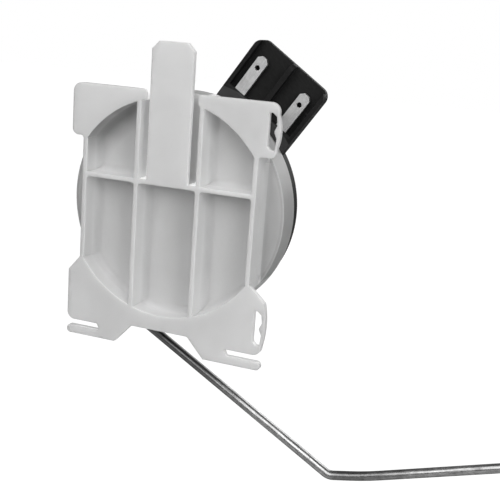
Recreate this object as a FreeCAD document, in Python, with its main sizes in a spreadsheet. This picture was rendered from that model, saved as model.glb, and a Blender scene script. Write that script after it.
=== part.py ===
import FreeCAD, Part

import itertools
import math
import operator
import os

import Sketcher
from FreeCAD import Placement, Rotation, Vector

# Fuel level sender. Frame: X to the right, Z up, Y away from the viewer.
# The front plate lies in the plane Y = 0 and the arm turns about the Y axis through the origin.

# Driving dimensions, in millimetres and degrees. The names are the aliases of the sheet's cells.
SIZES = {
    # Front plate of the carrier, seen from the front
    "plate_thick": 1.3,
    "ear_left_out": 2.9,
    "ear_right_out": 3.9,
    "spring_bulge": 0.6,
    "spring_start": 2.5,
    "plate_over": 0.15,
    "ear_foot_over": 1.8,
    "hip_over": 1.2,
    "hip_drop": 3.5,
    "belly_over": 2.25,
    "leg_drop": 4.6,
    "leg_thick": 1.95,
    "leg_root": 7.2,
    "leg_heel": 11.4,
    "leg_tip_round": 0.9,
    "ear_corner": 2.0,
    "ear_heel_round": 1.5,
    "ear_foot_round": 1.9,
    "small_corner": 0.7,
    # Slits that free the two legs, and slots that free the two spring edges
    "slit_wide": 1.5,
    "slit_left_long": 8.0,
    "slit_right_long": 9.0,
    "slit_slant": 0.8,
    "slit_end_round": 0.4,
    "slot_wide": 1.75,
    "slot_inset": 0.45,
    "slot_long": 8.0,
    "slot_drop": 6.1,
    "slot_rise": 9.7,
    "slot_slant": 0.8,
    "slot_bow": 0.25,
    "slot_round": 0.3,
    "nub_high": 0.3,
    "nub_rise": 1.4,
    "nub_flat": 0.4,
    # Latch tongue
    "tongue_half": 5.0,
    "tongue_over": 10.6,
    "tongue_chamfer": 1.7,
    "notch_left_gap": 0.9,
    "notch_right_gap": 1.6,
    "notch_deep": 6.7,
    # Frame on the pot's face
    "frame_inset": 4.85,
    "frame_wall": 1.0,
    "rib_gap": 0.5,
    "rib_thick": 1.0,
    "cross_low": 5.3,
    "rib_corner": 0.8,
    # Pot
    "pocket_wall": 1.35,
    "pot_wall": 1.3,
    "pot_face": 5.7,
    "pot_deep": 7.0,
    "floor_round": 1.6,
    # Base disc
    "flange_gap": 0.25,
    "flange_thick": 0.8,
    "disc_inset": 0.9,
    "base_deep": 5.4,
    "base_floor": 1.5,
    "base_wall": 1.5,
    "spigot_gap": 0.1,
    "spigot_long": 1.6,
    "back_edge": 0.4,
    "boss_radius": 6.4,
    "boss_long": 4.2,
    # Connector tray, in the direction that leans to the right from upright
    "tray_lean": 34.5,
    "tray_long": 14.65,
    "tray_step": 0.1,
    "tray_thick": 3.2,
    "tray_floor": 1.2,
    "tray_rim": 0.9,
    "tray_corner": 2.2,
    "ridge_round": 1.4,
    "block_edge": 0.35,
    "block_long": 1.95,
    "ridge_wide": 1.1,
    # Blade terminals
    "blade_wide": 2.8,
    "blade_thick": 0.8,
    "blade_offset": 6.35,
    "blade_side_gap": 1.53,
    "blade_end_gap": 3.1,
    "blade_sink": 0.5,
    "tip_chamfer": 0.8,
    "eye_back": 2.8,
    "eye_radius": 0.6,
    "step_inset": 0.95,
    "step_run": 1.4,
    "step_shift": 0.3,
    "tail_over": 1.5,
    # Resistor card and its printed tracks, from the bearing outwards
    "card_thick": 0.8,
    "card_bore_gap": 1.2,
    "card_half_angle": 46.0,
    "print_thick": 0.12,
    "common_inset": 2.8,
    "common_wide": 2.2,
    "track_gap": 2.4,
    "track_wide": 2.4,
    "track_half_angle": 39.0,
    "lead_wide": 1.4,
    "lead_angle": 2.5,
    "lead_gap": 1.5,
    "rivet_gap": 3.4,
    "card_margin": 2.1,
    "card_gap": 0.35,
    "pad_radius": 1.6,
    # Card rivets
    "rivet_radius": 0.55,
    "rivet_head": 1.1,
    "rivet_head_thick": 0.4,
    # Bearing, washer and clip
    "spindle_radius": 3.0,
    "running_gap": 0.05,
    "bush_wall": 1.2,
    "bush_flange": 5.6,
    "bush_flange_thick": 0.6,
    "washer_thick": 0.4,
    "clip_outer": 4.8,
    "clip_thick": 0.4,
    "clip_slot": 0.8,
    # Arm holder
    "hub_radius": 6.2,
    "hub_cover": 2.0,
    "bar_half": 3.6,
    "bar_over": 0.85,
    "bar_gap": 0.3,
    "spindle_tail": 1.4,
    "flat_depth": 0.6,
    "clip_near": 12.0,
    "clip_pitch": 10.0,
    "clip_long": 3.2,
    "clip_half": 2.9,
    "clip_high": 1.8,
    "mouth_half": 0.95,
    "bar_end_round": 2.9,
    # Float arm wire
    "wire_radius": 1.15,
    "wire_deep": 2.8,
    "wire_fit": 0.05,
    "wire_cap": 0.8,
    "bend_radius": 3.0,
    "knee_reach": 37.7,
    "knee_lean": 25.1,
    "shin_long": 62.1,
    "shin_dip": 29.8,
    "instep_rise": 12.1,
    "instep_long": 9.3,
    "instep_radius": 80.0,
    "toe_rise": 17.8,
    "toe_long": 61.0,
    "wire_over": 1.45,
    # Float with its washers and its clip
    "float_long": 40.0,
    "float_high": 24.0,
    "float_thick": 16.0,
    "float_stand": 0.5,
    "float_corner": 9.0,
    "float_edge": 1.2,
    "float_washer_outer": 3.6,
    "float_washer_thick": 0.5,
    "float_clip_outer": 3.0,
    # Wiper
    "sweep": 70.0,
    "rotor_radius": 5.6,
    "rotor_space": 1.0,
    "rotor_thick": 2.7,
    "lever_thick": 1.5,
    "lever_half": 3.7,
    "lever_over": 0.6,
    "lever_corner": 1.2,
    "leaf_thick": 0.25,
    "leaf_gap": 0.6,
    "leaf_flat": 1.7,
    "finger_wide": 2.2,
    "finger_offset": 1.6,
    "toe_pad": 1.0,
    "button_radius": 0.7,
    "button_tail": 0.55,
    "button_high": 0.55,
    "button_bevel": 0.3,
    "button_gap": 0.05,
    "stake_radius": 0.6,
    "stake_head": 0.35,
    # Travel stops on the back of the base
    "stop_near": 17.0,
    "stop_wide": 2.8,
    "stop_long": 4.0,
    "stop_short": 0.8,
    "stop_gap": 0.2,
}

document = FreeCAD.newDocument("fuel_level_sender")
sheet = document.addObject("Spreadsheet::Sheet", "Sizes")
for row, (alias, number) in enumerate(SIZES.items(), start=1):
    sheet.set(f"A{row}", str(number))
    sheet.setAlias(f"A{row}", alias)
document.recompute()


class Size:
    """A length or an angle: its value, and its formula over the sheet's cells."""

    def __init__(self, value, formula):
        self.value = value
        self.formula = formula

    def __add__(self, other):
        return joined(self, "+", other)

    def __radd__(self, other):
        return joined(other, "+", self)

    def __sub__(self, other):
        return joined(self, "-", other)

    def __rsub__(self, other):
        return joined(other, "-", self)

    def __mul__(self, other):
        return joined(self, "*", other)

    def __rmul__(self, other):
        return joined(other, "*", self)

    def __truediv__(self, other):
        return joined(self, "/", other)

    def __neg__(self):
        return joined(0, "-", self)


OPERATIONS = {"+": operator.add, "-": operator.sub, "*": operator.mul, "/": operator.truediv}


def as_size(number):
    return number if isinstance(number, Size) else Size(float(number), repr(float(number)))


def joined(left, sign, right):
    left, right = as_size(left), as_size(right)
    return Size(OPERATIONS[sign](left.value, right.value), f"({left.formula} {sign} {right.formula})")


def root(size):
    return Size(math.sqrt(size.value), f"sqrt({size.formula})")


def sine(angle):
    return Size(math.sin(math.radians(angle.value)), f"sin({angle.formula})")


def cosine(angle):
    return Size(math.cos(math.radians(angle.value)), f"cos({angle.formula})")


def arctangent(rise, run):
    formula = f"(atan2({rise.formula}; {run.formula}) / 1deg)"
    return Size(math.degrees(math.atan2(rise.value, run.value)), formula)


class Sheet:
    """The sheet's cells as sizes, by alias, and the sizes that follow from them."""


size = Sheet()
for alias, number in SIZES.items():
    setattr(size, alias, Size(float(number), f"Sizes.{alias}"))

# Radii, from the bearing outwards: each ring stands clear of the one inside it.
size.card_bore = size.boss_radius + size.card_bore_gap
size.common_inner = size.card_bore + size.common_inset
size.common_outer = size.common_inner + size.common_wide
size.track_inner = size.common_outer + size.track_gap
size.track_outer = size.track_inner + size.track_wide
size.rivet_radial = size.track_outer + size.rivet_gap
size.card_radius = size.rivet_radial + size.card_margin
size.cavity = size.card_radius + size.card_gap
size.spigot = size.cavity + size.base_wall
size.pot_inside = size.spigot + size.spigot_gap
size.pot_radius = size.pot_inside + size.pot_wall
size.pocket_radius = size.pot_radius - size.pocket_wall
size.pot_shoulder = size.pocket_wall
size.bar_long = size.pot_radius + size.bar_over

# Distances along the tray's direction
size.rivet_reach = root(size.rivet_radial * size.rivet_radial - size.blade_offset * size.blade_offset)
size.tail_end = size.rivet_reach - size.tail_over
size.step_inner = size.cavity + size.step_inset
size.step_outer = size.step_inner + size.step_run
size.block_reach = size.pot_radius + size.block_long
size.tray_reach = size.pot_radius + size.tray_long
size.blade_tip = size.tray_reach - size.blade_end_gap
size.tray_half = size.blade_offset + size.blade_wide / 2 + size.blade_side_gap + size.tray_rim

# The plate's outline, around the frame and the pocket
size.frame_half = size.pot_radius - size.frame_inset
size.ear_left = size.frame_half + size.ear_left_out
size.ear_right = size.frame_half + size.ear_right_out
size.frame_end = root(size.pocket_radius * size.pocket_radius - size.frame_half * size.frame_half)
size.ear_foot = size.frame_end + size.ear_foot_over
size.hip_top = size.frame_end + size.hip_over
size.hip_bottom = size.hip_top + size.hip_drop
size.plate_top = size.pot_radius + size.plate_over
size.belly = size.pot_radius + size.belly_over
size.leg_bottom = size.belly + size.leg_drop
size.slit_low = size.leg_bottom - size.leg_thick
size.slit_high = size.slit_low - size.slit_wide
size.tongue_top = size.plate_top + size.tongue_over
size.notch_left = size.tongue_half + size.notch_left_gap
size.notch_right = size.tongue_half + size.notch_right_gap
size.notch_low = size.plate_top - size.notch_deep
size.rib_offset = size.notch_right + size.rib_gap + size.rib_thick / 2

# Depths behind the front plane
size.pot_rim = size.pot_face + size.pot_deep
size.base_back = size.pot_rim + size.base_deep
size.tray_front = size.pot_rim + size.tray_step
size.tray_back = size.tray_front + size.tray_thick
size.boss_front = size.base_back - size.boss_long
size.rotor_back = size.boss_front - size.rotor_space
size.rotor_front = size.rotor_back - size.rotor_thick
size.spindle_front = size.rotor_front - size.spindle_tail
size.wire_front = size.spindle_front + size.wire_cap
size.card_front = size.base_back - size.base_floor - size.card_thick
size.print_front = size.card_front - size.print_thick
size.toe_back = size.print_front - size.button_gap - size.button_high
size.flange_back = size.base_back + size.bush_flange_thick
size.hub_front = size.flange_back + size.washer_thick + size.running_gap * 2
size.wire_plane = size.hub_front + size.wire_deep
size.hub_back = size.wire_plane + size.hub_cover
size.clip_back = size.wire_plane + size.clip_high
size.stop_back = size.wire_plane - size.stop_short
size.float_front = size.wire_plane + size.bend_radius + size.float_stand
size.float_back = size.float_front + size.float_thick
size.float_clip_front = size.float_back + size.float_washer_thick + size.running_gap * 3
size.wire_end = size.float_clip_front + size.clip_thick + size.wire_over

# The wiper's leaf and lever, from the rotor outwards
size.leaf_root = size.rotor_radius + size.leaf_gap
size.stake_reach = size.leaf_root + size.leaf_flat
size.leaf_bend = size.stake_reach + size.leaf_flat
size.lever_reach = size.leaf_bend + size.lever_over

UPRIGHT = Vector(0, 1, 0)


def bind(thing, prop, amount):
    """Sets a property and keeps it tied to the sheet."""
    amount = as_size(amount)
    if "." not in prop:
        setattr(thing, prop, amount.value)
    thing.setExpression(prop, amount.formula)


def turn(thing, angle):
    """Turns a piece about the Y axis, clockwise as seen from the front."""
    thing.Placement = Placement(Vector(), Rotation(UPRIGHT, as_size(angle).value))
    bind(thing, "Placement.Rotation.Angle", angle)


def body_named(label, lean=None):
    body = document.addObject("PartDesign::Body", label)
    body.Label = label
    if lean is not None:
        turn(body, lean)
    return body


def sketch_on(body, role, name, offset=0):
    """An empty sketch on one of the body's own planes, moved along the plane's normal."""
    plane = next(feature for feature in body.Origin.OriginFeatures if feature.Role == role)
    sketch = body.newObject("Sketcher::SketchObject", name)
    sketch.AttachmentSupport = (plane, "")
    sketch.MapMode = "FlatFace"
    bind(sketch, "AttachmentOffset.Base.z", offset)
    return sketch


def front_sketch(body, name, depth=0):
    """A sketch seen from the front, X to the right and Z up, at a depth behind the plate's plane."""
    return sketch_on(body, "XZ_Plane", name, -as_size(depth))


def fix_point(sketch, edge, end, across, up):
    for kind, amount in (("DistanceX", across), ("DistanceY", up)):
        number = sketch.addConstraint(Sketcher.Constraint(kind, edge, end, amount.value))
        sketch.setExpression(f"Constraints[{number}]", amount.formula)


def outline(sketch, corners):
    """A closed outline through the corners (across, up) or (across, up, bow).

    Each corner is tied to its sizes. The edge that follows a corner with a bow is an arc
    that stands out by that much to the left of its own direction.
    """
    points = [(as_size(corner[0]), as_size(corner[1])) for corner in corners]
    bows = [as_size(corner[2]) if len(corner) > 2 else None for corner in corners]
    edges = []
    for index, bow in enumerate(bows):
        start, stop = points[index], points[(index + 1) % len(points)]
        first = Vector(start[0].value, start[1].value, 0)
        last = Vector(stop[0].value, stop[1].value, 0)
        if bow is None:
            edge = sketch.addGeometry(Part.LineSegment(first, last), False)
            edges.append((edge, 1, 2))
            continue
        chord = last - first
        side = Vector(-chord.y, chord.x, 0).normalize()
        crown = (first + last) * 0.5 + side * bow.value
        edge = sketch.addGeometry(Part.Arc(first, crown, last), False)
        forward = (sketch.getPoint(edge, 1) - first).Length < (sketch.getPoint(edge, 2) - first).Length
        edges.append((edge, 1, 2) if forward else (edge, 2, 1))
        across, up = stop[0] - start[0], stop[1] - start[1]
        chord_squared = across * across + up * up
        height = bow if bow.value > 0 else -bow
        radius = (chord_squared / 4 + height * height) / (2 * height)
        number = sketch.addConstraint(Sketcher.Constraint("Radius", edge, radius.value))
        sketch.setExpression(f"Constraints[{number}]", radius.formula)
    for index, (edge, begin, end) in enumerate(edges):
        following, start, _ = edges[(index + 1) % len(edges)]
        sketch.addConstraint(Sketcher.Constraint("Coincident", edge, end, following, start))
        fix_point(sketch, edge, begin, *points[index])


def circle(sketch, radius, across=0, up=0):
    across, up, radius = as_size(across), as_size(up), as_size(radius)
    ring = Part.Circle(Vector(across.value, up.value, 0), Vector(0, 0, 1), radius.value)
    edge = sketch.addGeometry(ring, False)
    fix_point(sketch, edge, 3, across, up)
    number = sketch.addConstraint(Sketcher.Constraint("Radius", edge, radius.value))
    sketch.setExpression(f"Constraints[{number}]", radius.formula)


def rectangle(sketch, left, right, low, high):
    outline(sketch, [(left, low), (right, low), (right, high), (left, high)])


def pad(body, sketch, length, name):
    """Adds the sketch's area, from its plane to a length deeper."""
    feature = body.newObject("PartDesign::Pad", name)
    feature.Profile = sketch
    bind(feature, "Length", length)
    feature.Reversed = True
    return feature


def pocket(body, sketch, length, name):
    """Cuts the sketch's area, from its plane to a length deeper."""
    document.recompute()
    before = body.Tip.Shape.Volume
    feature = body.newObject("PartDesign::Pocket", name)
    feature.Profile = sketch
    bind(feature, "Length", length)
    document.recompute()
    if feature.Shape.Volume >= before:
        raise RuntimeError(f"{name} cuts nothing")
    return feature


def slab(body, sketch, wide, name):
    """Adds the area of a sketch seen from the side, half its width to each side of its plane."""
    feature = body.newObject("PartDesign::Pad", name)
    feature.Profile = sketch
    bind(feature, "Length", wide)
    feature.Midplane = True
    return feature


def revolve(body, corners, name):
    """A full turn about the Y axis of an outline given as (radius, depth)."""
    sketch = sketch_on(body, "XY_Plane", name + "_section")
    outline(sketch, corners)
    feature = body.newObject("PartDesign::Revolution", name)
    feature.Profile = sketch
    feature.ReferenceAxis = (sketch, ["V_Axis"])
    feature.Angle = 360
    return feature


def groove(body, corners, name):
    """Cuts a full turn about the Y axis of an outline given as (radius, depth)."""
    document.recompute()
    before = body.Tip.Shape.Volume
    sketch = sketch_on(body, "XY_Plane", name + "_section")
    outline(sketch, corners)
    feature = body.newObject("PartDesign::Groove", name)
    feature.Profile = sketch
    feature.ReferenceAxis = (sketch, ["V_Axis"])
    feature.Angle = 360
    document.recompute()
    if feature.Shape.Volume >= before:
        raise RuntimeError(f"{name} cuts nothing")
    return feature


NEAR = 0.02


def edges_where(shape, wanted):
    return [f"Edge{number}" for number, edge in enumerate(shape.Edges, start=1) if wanted(edge)]


def deep_edges_at(shape, spots):
    """Edges along Y that stand at the given spots (across, up)."""
    places = [(as_size(across).value, as_size(up).value) for across, up in spots]

    def wanted(edge):
        ends = [vertex.Point for vertex in edge.Vertexes]
        if len(ends) != 2 or abs(ends[0].x - ends[1].x) > NEAR or abs(ends[0].z - ends[1].z) > NEAR:
            return False
        return any(math.hypot(ends[0].x - x, ends[0].z - z) < NEAR for x, z in places)

    return edges_where(shape, wanted)


def must_hold(feature):
    if "Invalid" in feature.State or feature.Shape.isNull():
        raise RuntimeError(f"{feature.Label} fails")


def dress(body, kind, wanted, prop, amount, name):
    """Dresses the edges of the body's last feature that the test or the list of spots names."""
    document.recompute()
    base = body.Tip
    find = deep_edges_at if isinstance(wanted, list) else edges_where
    edges = find(base.Shape, wanted)
    if not edges:
        raise RuntimeError(f"{name} finds no edge")
    feature = body.newObject(kind, name)
    feature.Base = (base, edges)
    bind(feature, prop, amount)
    document.recompute()
    must_hold(feature)
    return feature


def fillet(body, wanted, radius, name):
    return dress(body, "PartDesign::Fillet", wanted, "Radius", radius, name)


def chamfer(body, wanted, amount, name):
    return dress(body, "PartDesign::Chamfer", wanted, "Size", amount, name)


def sector(name, outer, inner, front, thick, start, span):
    """A piece of a flat ring about the Y axis, clockwise from an angle that leans from upright."""
    pieces = []
    for part, radius in (("outer", outer), ("inner", inner)):
        piece = document.addObject("Part::Cylinder", f"{name}_{part}")
        bind(piece, "Radius", radius)
        bind(piece, "Height", thick)
        if part == "outer":
            bind(piece, "Angle", span)
        pieces.append(piece)
        lay_flat(piece, front, start if part == "outer" else 0)
    ring = document.addObject("Part::Cut", name)
    ring.Base, ring.Tool = pieces
    return ring


def lay_flat(piece, front, lean=0):
    """Stands a cylinder's axis along Y, its first face at a depth and its start at a lean from upright."""
    lean = as_size(lean)
    down = Rotation(Vector(1, 0, 0), -90)
    upright_start = Rotation(UPRIGHT, lean.value - 90)
    piece.Placement = Placement(Vector(0, as_size(front).value, 0), upright_start * down)
    bind(piece, "Placement.Base.y", front)


def disc(name, radius, front, thick, reach=0, lean=0):
    """A flat round piece whose axis lies along Y, at a reach from the origin in a leaning direction."""
    reach, lean = as_size(reach), as_size(lean)
    piece = document.addObject("Part::Cylinder", name)
    bind(piece, "Radius", radius)
    bind(piece, "Height", thick)
    across, up = reach * sine(lean), reach * cosine(lean)
    place = Vector(across.value, as_size(front).value, up.value)
    piece.Placement = Placement(place, Rotation(Vector(1, 0, 0), -90))
    bind(piece, "Placement.Base.x", across)
    bind(piece, "Placement.Base.y", front)
    bind(piece, "Placement.Base.z", up)
    return piece


def cut(name, base, tool):
    piece = document.addObject("Part::Cut", name)
    piece.Base, piece.Tool = base, tool
    piece.Label = name
    return piece


def fused(name, pieces):
    piece = document.addObject("Part::MultiFuse", name)
    piece.Shapes = pieces
    piece.Label = name
    return piece


def tube(name, outer, inner, front, thick, reach=0, lean=0):
    """A washer or a sleeve whose axis lies along Y."""
    outside = disc(f"{name}_outside", outer, front, thick, reach, lean)
    inside = disc(f"{name}_inside", inner, front, thick, reach, lean)
    return cut(name, outside, inside)


# Carrier: one pale moulding with the front plate, its ears, legs and tongue, the ribs and the pot.

def plate_outline():
    """The plate's sharp outline, clockwise from the top of the left ear."""
    s = size
    return [
        (-s.ear_left, s.plate_top),
        (s.ear_right, s.plate_top),
        (s.ear_right, s.plate_top - s.spring_start, s.spring_bulge),
        (s.ear_right, s.ear_foot + s.ear_corner),
        (s.ear_right, s.ear_foot),
        (s.frame_half, s.ear_foot),
        (s.frame_half, -s.hip_top),
        (s.ear_right, -s.hip_bottom, s.spring_bulge),
        (s.ear_right, -s.slit_high + s.ear_corner),
        (s.ear_right, -s.leg_bottom),
        (s.leg_heel, -s.leg_bottom),
        (s.leg_root, -s.belly),
        (-s.leg_root, -s.belly),
        (-s.leg_heel, -s.leg_bottom),
        (-s.ear_left, -s.leg_bottom),
        (-s.ear_left, -s.hip_bottom),
        (-s.frame_half, -s.hip_top),
        (-s.frame_half, s.ear_foot),
        (-s.ear_left, s.ear_foot),
    ]


def spring_slot(body, middle, name):
    """A narrow slot beside a spring edge, with a nub on its outer side that limits the spring."""
    s = size
    outer = s.ear_right - s.slot_inset
    inner = outer - s.slot_wide
    low, high = middle - s.slot_long / 2, middle + s.slot_long / 2
    nub = s.nub_flat / 2
    sketch = front_sketch(body, name + "_outline")
    corners = [
        (inner, low + s.slot_slant),
        (inner, high),
        (inner + s.slot_slant, high),
        (outer, high - s.slot_slant),
        (outer + s.slot_bow, middle + s.nub_rise),
        (outer - s.nub_high, middle + nub),
        (outer - s.nub_high, middle - nub),
        (outer + s.slot_bow, middle - s.nub_rise),
        (outer, low),
        (inner + s.slot_slant, low),
    ]
    outline(sketch, corners)
    pocket(body, sketch, s.plate_thick, name)
    fillet(body, corners, s.slot_round, name + "_corners")


def quarter_bulge(radius):
    """How far a quarter arc stands off its chord."""
    return radius * (1 - root(as_size(0.5)))


def floor_corner(wall, side):
    """Section of the round between a wall's face and the pocket's floor, as (across, depth).

    The pocket lies on that side of the wall: 1 to the right of it or above it, -1 otherwise.
    """
    s = size
    edge, behind = wall + side * s.floor_round, wall - side * s.rib_thick / 2
    rise, deep = s.pot_face - s.floor_round, s.pot_face + s.pot_wall / 2
    bulge = -side * quarter_bulge(s.floor_round)
    return [(edge, s.pot_face, bulge), (wall, rise), (behind, rise), (behind, deep), (edge, deep)]


def upright_round(body, wall, side, name):
    """Rounds the foot of an upright wall, with both ends buried in the pocket's ring."""
    s = size
    section = sketch_on(body, "XY_Plane", name + "_section")
    outline(section, floor_corner(wall, side))
    near, far = sorted((wall, wall + side * s.floor_round), key=lambda place: abs(place.value))
    inside = root(s.pocket_radius * s.pocket_radius - near * near)
    outside = root(s.pot_radius * s.pot_radius - far * far)
    slab(body, section, inside + outside, name)


def level_round(body, wall, side, name):
    """Rounds the foot of the cross rib, with both ends buried in the side walls."""
    s = size
    section = sketch_on(body, "YZ_Plane", name + "_section")
    turned = [(depth, up, *(-bulge for bulge in rest)) for up, depth, *rest in floor_corner(wall, side)]
    outline(section, turned)
    slab(body, section, s.frame_half * 2 - s.frame_wall, name)


def make_carrier():
    s = size
    body = body_named("carrier")
    revolve(body, [
        (0, s.pot_face),
        (s.pot_radius - s.pot_shoulder, s.pot_face, -quarter_bulge(s.pot_shoulder)),
        (s.pot_radius, s.pot_face + s.pot_shoulder),
        (s.pot_radius, s.pot_rim),
        (s.pot_inside, s.pot_rim),
        (s.pot_inside, s.pot_face + s.pot_wall),
        (0, s.pot_face + s.pot_wall),
    ], "pot")

    overlap = s.pot_wall / 2
    ring = front_sketch(body, "ring_outline")
    circle(ring, s.pot_radius)
    circle(ring, s.pocket_radius)
    pad(body, ring, s.pot_face + s.pot_shoulder, "pocket_ring")
    revolve(body, floor_corner(s.pocket_radius, -1), "ring_round")
    beside = front_sketch(body, "ring_ends")
    far = s.pot_radius * 2
    for sign in (-1, 1):
        near, away = sign * s.frame_half, sign * far
        rectangle(beside, *((near, away) if sign > 0 else (away, near)), -s.pot_radius, s.pot_radius)
    pocket(body, beside, s.pot_face, "ring_trim")

    plate = front_sketch(body, "plate_outline")
    outline(plate, plate_outline())
    pad(body, plate, s.plate_thick, "plate")
    hole = front_sketch(body, "pocket_outline")
    circle(hole, s.pocket_radius)
    pocket(body, hole, s.plate_thick, "plate_hole")

    reach = (s.pocket_radius + s.pot_radius) / 2
    frame_edge = root(reach * reach - s.frame_half * s.frame_half)
    depth = s.pot_face + overlap
    walls = front_sketch(body, "wall_outline")
    rectangle(walls, -s.frame_half, -s.frame_half + s.frame_wall, -frame_edge, frame_edge)
    rectangle(walls, s.frame_half - s.frame_wall, s.frame_half, -frame_edge, frame_edge)
    pad(body, walls, depth, "side_walls")
    ribs = front_sketch(body, "rib_outline")
    outer, inner = s.rib_offset + s.rib_thick / 2, s.rib_offset - s.rib_thick / 2
    tip = root(reach * reach - outer * outer)
    rectangle(ribs, -outer, -inner, -tip, tip)
    rectangle(ribs, inner, outer, -tip, tip)
    pad(body, ribs, depth, "upright_ribs")
    cross = front_sketch(body, "cross_outline")
    rim = s.frame_half - s.frame_wall / 2
    rectangle(cross, -rim, rim, s.cross_low, s.cross_low + s.rib_thick)
    pad(body, cross, depth, "cross_rib")

    wall_inside = s.frame_half - s.frame_wall
    crossings = [(x, s.cross_low) for x in (-wall_inside, -outer, -inner, inner, outer, wall_inside)]
    fillet(body, crossings, s.rib_corner, "rib_corners")
    for place, wall in (("wall", wall_inside), ("rib_near", inner)):
        upright_round(body, wall, -1, f"{place}_round_right")
        upright_round(body, -wall, 1, f"{place}_round_left")
    for place, wall in (("frame", s.frame_half), ("rib_far", outer)):
        upright_round(body, wall, 1, f"{place}_round_right")
        upright_round(body, -wall, -1, f"{place}_round_left")
    level_round(body, s.cross_low, -1, "cross_round_low")
    level_round(body, s.cross_low + s.rib_thick, 1, "cross_round_high")

    notch = front_sketch(body, "notch_outline")
    rectangle(notch, -s.notch_left, s.notch_right, s.notch_low, s.tongue_top)
    pocket(body, notch, s.pot_face, "tongue_notch")
    tongue = front_sketch(body, "tongue_outline")
    rectangle(tongue, -s.tongue_half, s.tongue_half, s.cross_low, s.tongue_top)
    pad(body, tongue, s.plate_thick, "tongue")

    slits = front_sketch(body, "slit_outline")
    low, high = -s.slit_low, -s.slit_high
    right, left = s.ear_right - s.slit_right_long, s.slit_left_long - s.ear_left
    right_end = [(right, high), (right + s.slit_slant, low)]
    left_end = [(left + s.slit_slant, low), (left, high)]
    outline(slits, right_end + [(far, low), (far, high)])
    outline(slits, left_end + [(-far, high), (-far, low)])
    pocket(body, slits, s.plate_thick, "leg_slits")
    spring_slot(body, s.plate_top - s.slot_drop, "upper_slot")
    spring_slot(body, s.slot_rise - s.leg_bottom, "lower_slot")

    chamfer(body, [(sign * s.tongue_half, s.tongue_top) for sign in (-1, 1)], s.tongue_chamfer, "tongue_tip")
    fillet(body, [(-s.ear_left, s.plate_top), (s.ear_right, s.plate_top)], s.ear_corner, "ear_tops")
    legs = [(x, -s.leg_bottom) for x in (-s.ear_left, s.ear_right)]
    legs += [(x, low) for x in (-s.ear_left, s.ear_right)]
    fillet(body, legs, s.leg_tip_round, "leg_tips")
    fillet(body, [(x, high) for x in (-s.ear_left, s.ear_right)], s.ear_foot_round, "ear_feet")
    heels = [(x, s.ear_foot) for x in (-s.ear_left, s.ear_right)]
    fillet(body, heels, s.ear_heel_round, "ear_heels")
    inner_corners = [(sign * s.frame_half, s.ear_foot) for sign in (-1, 1)]
    inner_corners += [(sign * s.leg_root, -s.belly) for sign in (-1, 1)]
    inner_corners += [(-s.notch_left, s.plate_top), (s.notch_right, s.plate_top)]
    fillet(body, inner_corners, s.small_corner, "plate_corners")
    fillet(body, left_end + right_end, s.slit_end_round, "slit_ends")
    return body


# Base: one black moulding with the disc that closes the pot, the bearing boss and the connector tray.

def make_terminal(name, side):
    """A tinned brass blade whose tail steps back inside the moulding and lies on the card's print."""
    s = size
    body = body_named(name, s.tray_lean)
    blade_front = s.tray_front + s.blade_sink
    tail_front = s.print_front - s.blade_thick
    sketch = sketch_on(body, "YZ_Plane", "side_view", side * s.blade_offset)
    outline(sketch, [
        (blade_front, s.blade_tip),
        (blade_front, s.step_outer),
        (tail_front, s.step_inner),
        (tail_front, s.tail_end),
        (tail_front + s.blade_thick, s.tail_end),
        (tail_front + s.blade_thick, s.step_inner + s.step_shift),
        (blade_front + s.blade_thick, s.step_outer + s.step_shift),
        (blade_front + s.blade_thick, s.blade_tip),
    ])
    slab(body, sketch, s.blade_wide, "strip")
    middle = side * s.blade_offset
    eyes = front_sketch(body, "eye_outline")
    circle(eyes, s.eye_radius, middle, s.blade_tip - s.eye_back)
    pocket(body, eyes, s.base_back, "eye")
    rivet = front_sketch(body, "rivet_hole_outline")
    circle(rivet, s.rivet_radius, middle, s.rivet_reach)
    pocket(body, rivet, s.base_back, "rivet_hole")
    half = s.blade_wide / 2
    chamfer(body, [(middle - half, s.blade_tip), (middle + half, s.blade_tip)], s.tip_chamfer, "tip")
    fillet(body, [(middle - half, s.tail_end), (middle + half, s.tail_end)], s.tip_chamfer, "tail")
    return body


def stop_corners(side):
    """Corners of a travel stop, which stands beside the holder's bar at that end of its travel.

    The bar points down and to the left at rest, with its stop on the clockwise side (1).
    Lifting the float turns it against the clock by the sweep, to the other stop (-1).
    """
    s = size
    rest = 180 + s.knee_lean - s.tray_lean
    lean = rest if side > 0 else rest - s.sweep
    along, beside = (sine(lean), cosine(lean)), (cosine(lean), -sine(lean))
    near = s.bar_half + s.stop_gap
    corners = []
    for reach, over in ((0, 0), (s.stop_long, 0), (s.stop_long, s.stop_wide), (0, s.stop_wide)):
        radial, away = s.stop_near + reach, side * (near + over)
        corners.append((along[0] * radial + beside[0] * away, along[1] * radial + beside[1] * away))
    return corners


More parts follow.
